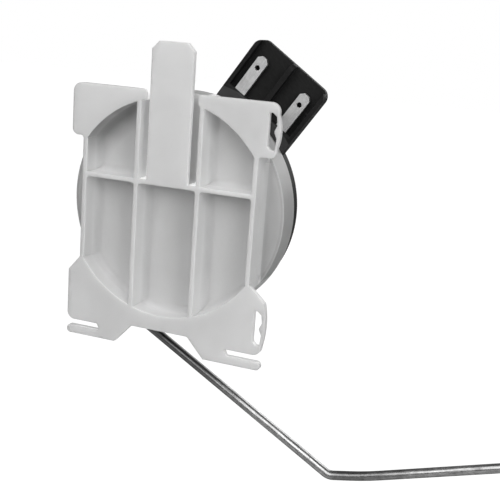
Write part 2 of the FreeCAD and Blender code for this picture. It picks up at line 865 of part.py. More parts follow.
def make_base(terminals):
    s = size
    body = body_named("base_moulding", s.tray_lean)
    disc_edge = s.pot_radius - s.disc_inset
    flange = s.pot_radius - s.flange_gap
    revolve(body, [
        (0, s.pot_rim - s.spigot_long),
        (s.spigot, s.pot_rim - s.spigot_long),
        (s.spigot, s.pot_rim),
        (flange, s.pot_rim),
        (flange, s.pot_rim + s.flange_thick),
        (disc_edge, s.pot_rim + s.flange_thick),
        (disc_edge, s.base_back - s.back_edge),
        (disc_edge - s.back_edge, s.base_back),
        (0, s.base_back),
    ], "disc")
    tray = front_sketch(body, "tray_outline", s.tray_front)
    rectangle(tray, -s.tray_half, s.tray_half, s.boss_radius, s.tray_reach)
    pad(body, tray, s.tray_back - s.tray_front, "tray")
    inner_floor = s.base_back - s.base_floor
    groove(body, [
        (s.boss_radius, s.pot_rim - s.spigot_long),
        (s.cavity, s.pot_rim - s.spigot_long),
        (s.cavity, inner_floor),
        (s.boss_radius, inner_floor),
    ], "cavity")
    groove(body, [
        (0, s.pot_rim - s.spigot_long),
        (s.boss_radius, s.pot_rim - s.spigot_long),
        (s.boss_radius, s.boss_front),
        (0, s.boss_front),
    ], "boss_face")
    bush = front_sketch(body, "bush_outline", s.boss_front)
    circle(bush, s.spindle_radius + s.running_gap + s.bush_wall)
    pocket(body, bush, s.base_back - s.boss_front, "bush_bore")

    chamfer_spots = [(sign * s.tray_half, s.tray_reach) for sign in (-1, 1)]
    fillet(body, chamfer_spots, s.tray_corner, "tray_corners")
    hollow = front_sketch(body, "hollow_outline", s.tray_front)
    left, ridge = s.tray_half - s.tray_rim, s.ridge_wide / 2
    beyond = s.tray_reach + s.tray_corner
    depth = s.tray_back - s.tray_floor - s.tray_front
    rectangle(hollow, -left, -ridge, s.block_reach, beyond)
    rectangle(hollow, ridge, left, s.block_reach, beyond)
    pocket(body, hollow, depth, "tray_hollow")
    front = s.tray_front.value

    def at_reach(reach):
        """Picks the edges of the tray's front that run across it at this reach."""
        def wanted(edge):
            ends = [vertex.Point for vertex in edge.Vertexes]
            level = all(abs(end.y - front) < NEAR and abs(end.z - reach) < NEAR for end in ends)
            return len(ends) == 2 and level
        return wanted

    fillet(body, at_reach(s.tray_reach.value), s.ridge_round, "ridge_end")
    chamfer(body, at_reach(s.block_reach.value), s.block_edge, "block_edges")

    for end, side in (("rest", 1), ("raised", -1)):
        block = front_sketch(body, f"stop_{end}_outline", s.base_back - s.base_floor / 2)
        outline(block, stop_corners(side))
        pad(body, block, s.stop_back - s.base_back + s.base_floor / 2, f"stop_{end}")

    for side in (-1, 1):
        recess = front_sketch(body, f"rivet_recess_{'left' if side < 0 else 'right'}", inner_floor)
        circle(recess, s.rivet_head + s.spigot_gap, side * s.blade_offset, s.rivet_reach)
        pocket(body, recess, s.rivet_head_thick + s.spigot_gap, f"rivet_recess_{side + 2}")
    inserts = document.addObject("Part::Compound", "inserts")
    inserts.Links = terminals
    return cut("connector_base", body, inserts)


def make_bushing():
    s = size
    bore = s.spindle_radius + s.running_gap
    body = body_named("shaft_bushing")
    revolve(body, [
        (bore, s.boss_front),
        (bore + s.bush_wall, s.boss_front),
        (bore + s.bush_wall, s.base_back),
        (s.bush_flange, s.base_back),
        (s.bush_flange, s.flange_back),
        (bore, s.flange_back),
    ], "turned_bush")
    return body


# Resistor card: a ceramic sector on the base's floor, with two printed conductors on its front.

def rivet_lean(side):
    return size.tray_lean + side * arctangent(size.blade_offset, size.rivet_reach)


def make_card():
    s = size
    start, span = s.tray_lean - s.card_half_angle, s.card_half_angle * 2
    raw = sector("card_blank", s.card_radius, s.card_bore, s.card_front, s.card_thick, start, span)
    holes = []
    for side in (-1, 1):
        place = (s.rivet_radial, rivet_lean(side))
        holes.append(disc(f"card_hole_{side + 2}", s.rivet_radius, s.card_front, s.card_thick, *place))
    tools = document.addObject("Part::Compound", "card_holes")
    tools.Links = holes
    return cut("resistor_card", raw, tools)


def with_pad(name, side, strips):
    """Fuses the printed strips with a round pad under a terminal's tail, pierced for the rivet."""
    s = size
    place = (s.rivet_radial, rivet_lean(side))
    pad_disc = disc(f"{name}_pad", s.pad_radius, s.print_front, s.print_thick, *place)
    solid = fused(f"{name}_print", strips + [pad_disc])
    hole = disc(f"{name}_hole", s.rivet_radius, s.print_front, s.print_thick, *place)
    return cut(name, solid, hole)


def printed(name, outer, inner, start, span):
    return sector(name, outer, inner, size.print_front, size.print_thick, start, span)


def make_prints():
    """The resistor with its feed to one rivet, and the contact track led round it to the other."""
    s = size
    start, span = s.tray_lean - s.track_half_angle, s.track_half_angle * 2
    feed_start = rivet_lean(-1) - s.lead_angle
    resistor = with_pad("resistor_track", -1, [
        printed("track_band", s.track_outer, s.track_inner, start, span),
        printed("track_feed", s.rivet_radial, s.track_inner, feed_start, s.lead_angle * 2),
    ])
    edge = start + span + s.lead_gap
    end, lead = edge + s.lead_angle, s.lead_wide / 2
    outer, lean = s.rivet_radial + lead, rivet_lean(1)
    common = with_pad("contact_track", 1, [
        printed("common_band", s.common_outer, s.common_inner, start, end - start),
        printed("common_rise", outer, s.common_inner, edge, s.lead_angle),
        printed("common_back", outer, s.rivet_radial - lead, lean, end - lean),
    ])
    return [resistor, common]


def make_rivet(name, side):
    """A solid brass rivet through the terminal's tail and the card."""
    s = size
    place = (s.rivet_radial, rivet_lean(side))
    tail_front = s.print_front - s.blade_thick
    card_back = s.card_front + s.card_thick
    head_front = tail_front - s.rivet_head_thick
    return fused(name, [
        disc(f"{name}_front", s.rivet_head, head_front, s.rivet_head_thick, *place),
        disc(f"{name}_shank", s.rivet_radius, tail_front, card_back - tail_front, *place),
        disc(f"{name}_back", s.rivet_head, card_back, s.rivet_head_thick, *place),
    ])


# Arm: holder with its spindle, wire, wiper and float.

def knee():
    """The wire's first corner in front view, where its short leg ends below the pot."""
    s = size
    return -s.knee_reach * sine(s.knee_lean), -s.knee_reach * cosine(s.knee_lean)


def ankle():
    """The wire's second corner, where the long leg turns towards the float."""
    s = size
    across, up = knee()
    return across + s.shin_long * cosine(s.shin_dip), up - s.shin_long * sine(s.shin_dip)


def instep():
    """A slight third corner, where the wire turns a little further up."""
    s = size
    across, up = ankle()
    return across + s.instep_long * cosine(s.instep_rise), up + s.instep_long * sine(s.instep_rise)


def float_centre():
    s = size
    across, up = instep()
    return across + s.toe_long * cosine(s.toe_rise), up + s.toe_long * sine(s.toe_rise)


def route_points():
    """Corners of the wire's centre line, from inside the spindle to the far side of the float."""
    s = size
    stops = [(0, s.wire_front, 0), (0, s.wire_plane, 0)]
    for across, up in (knee(), ankle(), instep(), float_centre()):
        stops.append((across, s.wire_plane, up))
    across, up = float_centre()
    stops.append((across, s.wire_end, up))
    return [Vector(*(as_size(value).value for value in stop)) for stop in stops]


def bent_route(points, radii):
    """Straight runs joined by tangent arcs, with a radius for each corner."""
    edges = []
    start = points[0]
    for before, corner, after, radius in zip(points, points[1:], points[2:], radii):
        back, ahead = (before - corner).normalize(), (after - corner).normalize()
        half = back.getAngle(ahead) / 2
        setback = radius / math.tan(half)
        first, last = corner + back * setback, corner + ahead * setback
        middle_way = (back + ahead).normalize()
        crown = corner + middle_way * (radius / math.sin(half) - radius)
        edges.append(Part.LineSegment(start, first).toShape())
        edges.append(Part.Arc(first, crown, last).toShape())
        start = last
    edges.append(Part.LineSegment(start, points[-1]).toShape())
    return Part.Wire(edges)


def swept_wire(name, radius):
    """The bent wire: a round section swept along the route."""
    s = size
    points = route_points()
    route = document.addObject("Part::Feature", f"{name}_route")
    tight, gentle = s.bend_radius.value, s.instep_radius.value
    route.Shape = bent_route(points, [tight, tight, tight, gentle, tight])
    section = document.addObject("Part::Circle", f"{name}_section")
    bind(section, "Radius", radius)
    section.Placement = Placement(points[0], Rotation(Vector(0, 0, 1), points[1] - points[0]))
    document.recompute()
    sweep = document.addObject("Part::Sweep", name)
    sweep.Sections = [section]
    sweep.Spine = (route, [f"Edge{number + 1}" for number in range(len(route.Shape.Edges))])
    sweep.Solid = True
    sweep.Frenet = False
    document.recompute()
    straight = math.pi * as_size(radius).value ** 2 * route.Shape.Length
    share = round(sweep.Shape.Volume / straight, 4)
    print(name, "length", round(route.Shape.Length, 2), "volume ratio", share)
    return sweep


def make_holder():
    """One moulding: the spindle in the bearing, the hub, and the bar whose clips grip the wire."""
    s = size
    body = body_named("holder_moulding", s.knee_lean)
    revolve(body, [
        (0, s.spindle_front),
        (s.spindle_radius, s.spindle_front),
        (s.spindle_radius, s.hub_front),
        (s.hub_radius, s.hub_front),
        (s.hub_radius, s.hub_back),
        (0, s.hub_back),
    ], "hub_and_spindle")
    bar_front = s.hub_front + s.bar_gap
    bar = front_sketch(body, "bar_outline", bar_front)
    rectangle(bar, -s.bar_half, s.bar_half, -s.bar_long, 0)
    pad(body, bar, s.wire_plane - bar_front, "bar")
    clips = front_sketch(body, "clip_outline", s.wire_plane)
    for place in (0, 1):
        near = s.clip_near + place * s.clip_pitch
        rectangle(clips, -s.clip_half, s.clip_half, -near - s.clip_long, -near)
    pad(body, clips, s.clip_back - s.wire_plane, "clips")
    mouth = front_sketch(body, "mouth_outline", s.wire_plane)
    rectangle(mouth, -s.mouth_half, s.mouth_half, -s.bar_long, -s.hub_radius)
    pocket(body, mouth, s.clip_back - s.wire_plane, "clip_mouths")
    entry = front_sketch(body, "entry_outline", s.wire_plane)
    half = s.wire_radius + s.wire_fit
    rectangle(entry, -half, half, -s.hub_radius - s.bar_gap, half)
    pocket(body, entry, s.hub_back - s.wire_plane, "wire_entry")
    flat = front_sketch(body, "flat_outline", s.spindle_front)
    outside, level = s.spindle_radius * 2, s.spindle_radius - s.flat_depth
    rectangle(flat, -s.spindle_radius, s.spindle_radius, level, outside)
    pocket(body, flat, s.rotor_back - s.spindle_front, "key_flat")
    fillet(body, [(sign * s.bar_half, -s.bar_long) for sign in (-1, 1)], s.bar_end_round, "bar_end")
    clearance = swept_wire("wire_clearance", s.wire_radius + s.wire_fit)
    return cut("arm_holder", body, clearance)


def rest_lean():
    """Direction of the wiper at rest: half a sweep clockwise of the card's middle."""
    return size.tray_lean + size.sweep / 2


def make_rotor():
    """The wiper's carrier: a keyed hub with a short lever and two stakes for the leaf."""
    s = size
    body = body_named("wiper_rotor", rest_lean())
    hub = front_sketch(body, "hub_outline", s.rotor_front)
    circle(hub, s.rotor_radius)
    pad(body, hub, s.rotor_back - s.rotor_front, "hub")
    lever = front_sketch(body, "lever_outline", s.rotor_back - s.lever_thick)
    rectangle(lever, -s.lever_half, s.lever_half, 0, s.lever_reach)
    pad(body, lever, s.lever_thick, "lever")
    bore = front_sketch(body, "bore_outline", s.rotor_front)
    circle(bore, s.spindle_radius + s.running_gap)
    pocket(body, bore, s.rotor_back - s.rotor_front, "bore")
    stakes = front_sketch(body, "stake_outline", s.rotor_back - s.lever_thick / 2)
    for side in (-1, 1):
        circle(stakes, s.stake_radius, side * s.finger_offset, s.stake_reach)
    pad(body, stakes, s.lever_thick / 2 + s.leaf_thick + s.stake_head, "stakes")
    fillet(body, [(side * s.lever_half, s.lever_reach) for side in (-1, 1)], s.lever_corner, "lever_corners")
    return body


def finger_profile(reach):
    s = size
    thick = s.leaf_thick
    bend = reach - s.toe_pad
    return [
        (s.rotor_back, s.leaf_root),
        (s.rotor_back + thick, s.leaf_root),
        (s.rotor_back + thick, s.leaf_bend - thick / 2),
        (s.toe_back, bend - thick / 2),
        (s.toe_back, reach + s.toe_pad),
        (s.toe_back - thick, reach + s.toe_pad),
        (s.toe_back - thick, bend + thick / 2),
        (s.rotor_back, s.leaf_bend + thick / 2),
    ]


def track_middles():
    s = size
    outer, inner = s.track_outer + s.track_inner, s.common_outer + s.common_inner
    return {"outer": outer / 2, "inner": inner / 2}


FINGER_SIDE = {"outer": -1, "inner": 1}


def make_leaf():
    """The spring leaf: a flat root on the rotor's stakes and two fingers that reach the tracks."""
    s = size
    body = body_named("wiper_leaf", rest_lean())
    root_plate = front_sketch(body, "root_outline", s.rotor_back)
    half = s.finger_offset + s.finger_wide / 2
    rectangle(root_plate, -half, half, s.leaf_root, s.leaf_bend - s.leaf_thick)
    pad(body, root_plate, s.leaf_thick, "root_plate")
    for place, reach in track_middles().items():
        offset = FINGER_SIDE[place] * s.finger_offset
        view = sketch_on(body, "YZ_Plane", f"finger_{place}_side", offset)
        outline(view, finger_profile(reach))
        slab(body, view, s.finger_wide, f"finger_{place}")
    document.recompute()
    holes = front_sketch(body, "stake_holes", s.rotor_back)
    for side in (-1, 1):
        circle(holes, s.stake_radius + s.running_gap, side * s.finger_offset, s.stake_reach)
    pocket(body, holes, s.leaf_thick, "stake_openings")
    for place, reach in track_middles().items():
        seat = front_sketch(body, f"{place}_seat", s.toe_back - s.leaf_thick)
        circle(seat, s.button_radius / 2, FINGER_SIDE[place] * s.finger_offset, reach)
        pocket(body, seat, s.leaf_thick, f"{place}_button_hole")
    return body


def make_button(place):
    """A silver contact rivet whose dome rides on its track."""
    s = size
    name = f"contact_button_{place}"
    body = body_named(name, rest_lean())
    offset, reach = FINGER_SIDE[place] * s.finger_offset, track_middles()[place]
    back, thick = s.toe_back, s.leaf_thick
    for part, radius, front, long in (
        ("tail", s.button_tail, back - thick * 2, thick),
        ("shank", s.button_radius / 2, back - thick, thick),
        ("dome", s.button_radius, back, s.button_high),
    ):
        ring = front_sketch(body, f"{part}_outline", front)
        circle(ring, radius, offset, reach)
        pad(body, ring, long, part)
    level = (back + s.button_high).value

    def dome_edge(edge):
        return all(abs(vertex.Point.y - level) < NEAR for vertex in edge.Vertexes)

    chamfer(body, dome_edge, s.button_bevel, "dome_bevel")
    return body


def make_clip():
    """Push-on spring clip: a ring whose slots let its teeth bite into the spindle."""
    s = size
    front = s.rotor_front - s.running_gap - s.clip_thick
    body = body_named("retaining_clip", rest_lean())
    ring = front_sketch(body, "ring_outline", front)
    circle(ring, s.clip_outer)
    pad(body, ring, s.clip_thick, "ring")
    teeth = front_sketch(body, "teeth_outline", front)
    circle(teeth, s.spindle_radius)
    pocket(body, teeth, s.clip_thick, "bore")
    reach = (s.clip_outer + s.spindle_radius) / 2
    narrow = s.clip_slot / 2
    for name, across, up in (("slot_level", reach, narrow), ("slot_upright", narrow, reach)):
        slot = front_sketch(body, f"{name}_outline", front)
        rectangle(slot, -across, across, -up, up)
        pocket(body, slot, s.clip_thick, name)
    return body


def make_float():
    """The float block with its cross bore, and the washers and clip that hold it on the wire."""
    s = size
    across, up = float_centre()
    body = document.addObject("PartDesign::Body", "float")
    block = front_sketch(body, "block_outline", s.float_front)
    half_long, half_high = s.float_long / 2, s.float_high / 2
    rectangle(block, across - half_long, across + half_long, up - half_high, up + half_high)
    pad(body, block, s.float_thick, "block")
    corners = []
    for side, level in itertools.product((-1, 1), repeat=2):
        corners.append((across + side * half_long, up + level * half_high))
    fillet(body, corners, s.float_corner, "block_corners")
    faces = (s.float_front.value, s.float_back.value)

    def rim(edge):
        ends = [vertex.Point.y for vertex in edge.Vertexes]
        return any(all(abs(depth - face) < NEAR for depth in ends) for face in faces)

    chamfer(body, rim, s.float_edge, "block_edges")
    bore = front_sketch(body, "bore_outline", s.float_front)
    circle(bore, s.wire_radius + s.running_gap, across, up)
    pocket(body, bore, s.float_thick, "wire_bore")
    return body


def make_float_hardware():
    s = size
    across, up = float_centre()
    place = (root(across * across + up * up), arctangent(across, up))
    bore, thick = s.wire_radius + s.running_gap, s.float_washer_thick
    inner_front = s.float_front - s.running_gap * 2 - thick
    outer_front = s.float_back + s.running_gap * 2
    clip_front = s.float_clip_front
    return [
        tube("float_washer_inner", s.float_washer_outer, bore, inner_front, thick, *place),
        tube("float_washer_outer", s.float_washer_outer, bore, outer_front, thick, *place),
        tube("float_clip", s.float_clip_outer, s.wire_radius, clip_front, s.clip_thick, *place),
    ]


def make_all():
    s = size
    terminals = [make_terminal("terminal_upper", -1), make_terminal("terminal_lower", 1)]
    washer_front, bore = s.flange_back + s.running_gap, s.spindle_radius + s.running_gap
    washer = tube("thrust_washer", s.bush_flange, bore, washer_front, s.washer_thick)
    wire = swept_wire("float_arm", s.wire_radius)
    pieces = [make_carrier(), make_base(terminals), *terminals, make_bushing()]
    pieces += [make_card(), *make_prints()]
    pieces += [make_rivet("card_rivet_upper", -1), make_rivet("card_rivet_lower", 1)]
    pieces += [washer, make_holder(), wire, make_rotor(), make_leaf()]
    pieces += [make_button("outer"), make_button("inner"), make_clip()]
    pieces += [make_float(), *make_float_hardware()]
    return pieces


def check_and_write(pieces):
    """Stops at a failed object or an empty shape, then writes one file for each piece."""
    document.recompute()
    for thing in document.Objects:
        if "Invalid" in thing.State or "Error" in thing.State:
            raise RuntimeError(f"{thing.Label} is {thing.State}")
    for piece in pieces:
        if piece.Shape.isNull() or not piece.Shape.isValid():
            raise RuntimeError(f"{piece.Label} has no valid shape")
    os.makedirs("parts", exist_ok=True)
    for piece in pieces:
        piece.Shape.exportStep(os.path.join("parts", f"{piece.Label}.step"))
        box = piece.Shape.BoundBox
        low, high = (box.XMin, box.YMin, box.ZMin), (box.XMax, box.YMax, box.ZMax)
        spans = [f"{axis} {a:.1f}..{b:.1f}" for axis, a, b in zip("xyz", low, high)]
        solids, volume = len(piece.Shape.Solids), piece.Shape.Volume
        print(f"{piece.Label:22} solids {solids} volume {volume:9.2f} ", *spans)


check_and_write(make_all())
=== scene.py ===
# %% [markdown]
# Fuel level sender. A fuel pump module carries this part on its side. A pale moulded carrier clips
# into the module, a black base closes the pot behind it, and a bent steel wire carries the float.
# The solids already have the real form, so this lesson keeps them all and gives each its finish.
# The finishes are made with shader nodes alone, so that they hold at any size and from any side.

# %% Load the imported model
import math
from functools import cached_property

import bpy
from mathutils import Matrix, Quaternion, Vector

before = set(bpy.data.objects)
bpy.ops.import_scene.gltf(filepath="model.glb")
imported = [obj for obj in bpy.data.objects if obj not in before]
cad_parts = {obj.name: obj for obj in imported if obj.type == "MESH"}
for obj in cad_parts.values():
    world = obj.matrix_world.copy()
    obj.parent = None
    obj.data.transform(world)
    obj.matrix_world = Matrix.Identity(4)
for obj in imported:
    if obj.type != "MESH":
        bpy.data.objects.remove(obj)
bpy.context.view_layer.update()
MM = 0.001
print("solids:", len(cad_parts))

# %% [markdown]
# The camera stands where the photographer stood: to the right of the part, a little above it, and
# close, so that the near edges look larger than the far ones. A lens of 68 mm on a 36 mm sensor then
# frames the part as in the photograph. The camera looks at a point on the front plate's plane and is
# rolled by about four degrees, because the part leans in the picture.

# %% Camera
CAMERA_PLACE = Vector((90.495, -188.161, 42.830)) * MM
CAMERA_TARGET = Vector((20.956, 0.0, -5.835)) * MM
CAMERA_ROLL = math.radians(4.297)
CAMERA_LENS = 68.4
CAMERA_SENSOR = 36.0

lens = bpy.data.cameras.new("photo_camera")
lens.lens = CAMERA_LENS
lens.sensor_width = CAMERA_SENSOR
lens.clip_start = 1 * MM
lens.clip_end = 20.0
camera = bpy.data.objects.new("photo_camera", lens)
bpy.context.scene.collection.objects.link(camera)
aim = (CAMERA_TARGET - CAMERA_PLACE).to_track_quat("-Z", "Y")
camera.rotation_mode = "QUATERNION"
camera.rotation_quaternion = aim @ Quaternion((0, 0, 1), CAMERA_ROLL)
camera.location = CAMERA_PLACE
bpy.context.scene.camera = camera
bpy.context.scene.view_settings.view_transform = "Standard"
print("camera to target, mm:", round((CAMERA_TARGET - CAMERA_PLACE).length / MM, 1))

# %% [markdown]
# Every finish is a small graph of shader nodes. Written by hand, such graphs are long and hard to
# read, so a few small classes help. `Socket` wraps one output, and arithmetic on it adds Math nodes.
# A comparison gives 1 where it holds and 0 elsewhere, so two of them multiplied mean "and".

# %% Arithmetic on sockets
class Socket:
    """One output in a node tree. Arithmetic on it gives a new Socket."""

    def __init__(self, graph, output):
        self.graph = graph
        self.output = output

    def math(self, operation, first, second):
        return self.graph.node("Math", {"operation": operation}, {0: first, 1: second})

    def __add__(self, other):
        return self.math("ADD", self, other)

    def __sub__(self, other):
        return self.math("SUBTRACT", self, other)

    def __rsub__(self, other):
        return self.math("SUBTRACT", other, self)

    def __mul__(self, other):
        return self.math("MULTIPLY", self, other)

    def __pow__(self, other):
        return self.math("POWER", self, other)

    def __gt__(self, other):
        return self.math("GREATER_THAN", self, other)

    def __lt__(self, other):
        return self.math("LESS_THAN", self, other)

    __radd__ = __add__
    __rmul__ = __mul__


print("socket arithmetic ready")

# %% [markdown]
# `Graph` holds a node tree and the one method that adds every other node to it. A node's settings have
# to be there before its sockets are fed, because a setting can change which sockets a node has. That
# is why `node` takes them apart. A ramp's stops are a setting too.

# %% A graph of nodes
class Graph:
    """A node tree and one way to add nodes to it."""

    def __init__(self, tree):
        self.tree = tree

    def node(self, kind, settings=None, sockets=None, output=0):
        made = self.tree.nodes.new("ShaderNode" + kind)
        for name, value in (settings or {}).items():
            if name == "stops":
                lay_stops(made.color_ramp, value)
            else:
                setattr(made, name, value)
        self.feed(made, sockets or {})
        return Socket(self, made.outputs[output])

    def feed(self, node, sockets):
        """Links or sets the sockets of a node that is already there."""
        for key, value in sockets.items():
            if isinstance(value, Socket):
                self.tree.links.new(value.output, node.inputs[key])
            else:
                node.inputs[key].default_value = value


def lay_stops(ramp, stops):
    """Sets a ramp's stops, each given as a place from 0 to 1 and a level of grey."""
    while len(ramp.elements) < len(stops):
        ramp.elements.new(1.0)
    for element, (place, level) in zip(ramp.elements, stops):
        element.position = place
        element.color = (level, level, level, 1)


print("graph helpers ready")

# %% [markdown]
# A finish is a graph that belongs to a material. It keeps the shader and the place in the part. That
# place moves with the part, so no pattern slides over a surface when the arm swings.

# %% A finish in the making
class Finish(Graph):
    """A material and its shader. Constants are set on the shader's own sockets."""

    def __init__(self, name, **constants):
        self.material = bpy.data.materials.new(name)
        self.material.use_nodes = True
        super().__init__(self.material.node_tree)
        self.shader = self.tree.nodes["Principled BSDF"]
        self.shade(**constants)

    @cached_property
    def place(self):
        """The place in the part, in metres. Its node is added once, at the first use."""
        return self.node("TexCoord", output="Object")

    def shade(self, **values):
        self.feed(self.shader, {name.replace("_", " "): value for name, value in values.items()})


print("finish helper ready")

# %% [markdown]
# The same few building blocks come back in most finishes. `noise` gives soft random grey at a size in
# millimetres, `ramp` cuts a band out of it, and `mix` blends two colours by a mask. `fade` makes a
# mask that rises evenly from one place to another.

# %% Noise, ramps and colours
def grey(value):
    return (value, value, value, 1)


def noise(finish, size, detail=3.0, rough=0.55, at=None):
    """Random grey from 0 to 1, with soft lumps of a size in mm."""
    return finish.node("TexNoise", {}, {
        "Vector": at or finish.place, "Scale": 1 / (size * MM), "Detail": detail, "Roughness": rough,
    })


def ramp(finish, value, *stops):
    return finish.node("ValToRGB", {"stops": stops}, {"Fac": value})


def fade(finish, value, start, end):
    """0 up to the start, 1 from the end on, and an even slope between them."""
    return finish.node("MapRange", {}, {"Value": value, "From Min": start, "From Max": end})


def mix(finish, mask, first, second):
    """The first colour where the mask is 0, the second where it is 1."""
    return finish.node("Mix", {"data_type": "RGBA"}, {0: mask, 6: first, 7: second}, output=2)


def axis(finish, letter):
    """The place along one axis, in mm."""
    return finish.node("SeparateXYZ", {}, {"Vector": finish.place}, output=letter) * (1 / MM)


def stretched(finish, along, turn=(0, 0, 0)):
    """The place in the part, turned and then squeezed by a factor along each axis."""
    turned = finish.node("Mapping", {"vector_type": "POINT"}, {
        "Vector": finish.place, "Rotation": tuple(math.radians(angle) for angle in turn),
    })
    return finish.node("Mapping", {"vector_type": "POINT"}, {"Vector": turned, "Scale": along})


print("building blocks ready")

# %% [markdown]
# No moulded or stamped edge is truly sharp. The Bevel node bends the normal near an edge, which
# catches the light as a real rounding does. Where that bent normal leaves the face's own normal, there
# is an edge, and that gives a mask for wear, and on the plastics for a painted highlight, as well.

# %% Soft edges and wear
def soft_edge(finish, radius):
    return finish.node("Bevel", {"samples": 6}, {"Radius": radius * MM})


def edge_mask(finish, rounded):
    """1 on an edge, 0 on a flat face."""
    face = finish.node("NewGeometry", output="Normal")
    agree = finish.node(
        "VectorMath", {"operation": "DOT_PRODUCT"}, {0: rounded, 1: face}, output="Value",
    )
    return ramp(finish, agree, (0.70, 1.0), (0.985, 0.0))


def bump(finish, height, depth, under):
    """Relief of a depth in mm, laid over another normal."""
    return finish.node("Bump", {}, {
        "Strength": 1.0, "Distance": depth * MM, "Height": height, "Normal": under,
    })


print("edge helpers ready")

# %% [markdown]
# The carrier is moulded in undyed acetal, a hard and milky plastic. The tool's face leaves a fine matt
# grain, the melt leaves faint clouds, and handling leaves small dull spots. Light goes some millimetres
# into the plastic and comes out again beside, so its full subsurface weight softens the thin ribs.

# %% Pale acetal
def pale_plastic(name, tone, painted_shading=None):
    """toning takes the finish, plain colour and tone, and gives colour and glow with painted light and
    shade.
    """
    finish = Finish(name, Specular_IOR_Level=0.42, Emission_Strength=1.0, Subsurface_Weight=1.0,
                    Subsurface_Scale=4.0 * MM, Subsurface_Radius=(1.0, 1.0, 1.0))
    rounded = soft_edge(finish, 0.22)
    clouds = noise(finish, 11.0, 2.0, at=stretched(finish, (1.0, 1.0, 0.6)))
    grain = noise(finish, 0.16, 2.0)
    spots = ramp(finish, noise(finish, 1.7, 4.0, 0.65), (0.62, 0.0), (0.74, 1.0))
    shade = ramp(finish, clouds * 0.7 + grain * 0.3, (0.30, tone * 0.93), (0.70, tone * 1.04))
    # Paler edges: partly wear and partly a painted highlight.
    wear_and_edge_highlight = edge_mask(finish, rounded)
    plain = mix(finish, spots * 0.10, shade, grey(tone * 0.72))
    # With toning, the colour gets painted light and shade, and the emission a painted glow.
    body, glow = painted_shading(finish, plain, tone) if painted_shading else (plain, grey(0.0))
    finish.shade(
        Base_Color=mix(finish, wear_and_edge_highlight * 0.25, body, grey(min(tone * 1.18, 0.9))),
        Roughness=0.40 + clouds * 0.10 + grain * 0.08 - wear_and_edge_highlight * 0.08,
        Emission_Color=glow,
        Normal=bump(finish, grain * 0.7 + clouds * 0.3, 0.012, rounded),
    )
    return finish.material


# %% [markdown]
# How pale the carrier looks depends on what lies behind it and on how the light falls, and both are
# painted into its colour. The pocket's floor and the pot's face are painted darker, the more so at the
# pot's shoulder and low on the face: painted shade for light that their thin walls lose to the black
# base. The pocket's wall at the upper left gets a painted shade. The corners are painted paler, as
# painted light that bounces between pale walls. The two grooves beside the tongue are painted pale
# and get a painted glow, for light that comes through their thin walls. These effects need places on
# the carrier and a strength each.

# %% Places and strengths for the carrier's painted light and shade
# All in mm. A distance away is from the pot's axis, and a pair is where a fade starts and ends.
FRAME_HALF = 21.9            # half the frame's width; the pot's face lies outside it
FACE_DEPTH = 1.5             # the pot's face lies deeper than this
SHOULDER_AWAY = 25.5         # the pot's shoulder starts this far away
FLOOR_DEPTH = (3.84, 5.6)    # the walls turn into the pocket's floor here
GROOVE_SIDES = (5.0, 7.1)    # a groove's two sides, from the middle plane
GROOVE_FOOT = 5.4            # height of the grooves' lower end
GROOVE_DEPTH = 0.8           # the glow of their walls starts this deep
# The next four places are for the painted shade on the pocket's wall.
SHADE_DEPTH = 0.3            # the shade at the wall starts behind the plate's front
SHADE_LEFT = -8.0            # it lies to the left of this
SHADE_HEIGHT = (6.0, 15.0)   # it grows upwards
SHADE_AWAY = (19.75, 23.75)  # it grows towards the wall
CORNER_REACH = 9.0           # walls within this distance of a point make it a corner

# How strong each painted effect is: 1 gives the darkest or the palest tone, 0 leaves the plain one.
FLOOR_PAINTED_SHADE = 0.18            # loss of light at the pocket's floor
FACE_PAINTED_SHADE = 0.26             # further loss on the pot's face, at the height of its axis
FACE_SLOPE = 0.009           # how much less that is for each mm higher
SHOULDER_PAINTED_SHADE = 0.16         # further loss on the shoulder
WALL_SHADE = 0.85            # at the wall's upper left
CORNER_PAINTED_LIGHT = 0.42           # where no open space is left
DARKEST = 0.35               # the darkest tone as a share of the plain one
PALEST = 0.97                # the palest tone
GROOVE_PAINTED_GLOW = 0.38           # light through the grooves' walls
print("pocket floor's fade in mm:", FLOOR_DEPTH)

# %% [markdown]
# A comparison of places gives a mask with a hard limit, and `fade` one with a soft limit. Each
# painted effect has its mask, and the masks are multiplied by the strengths. How closed in a point
# lies comes from an ambient occlusion node, which sets where corners are painted paler. The tones
# are returned as a colour with painted light and shade, and a painted glow.

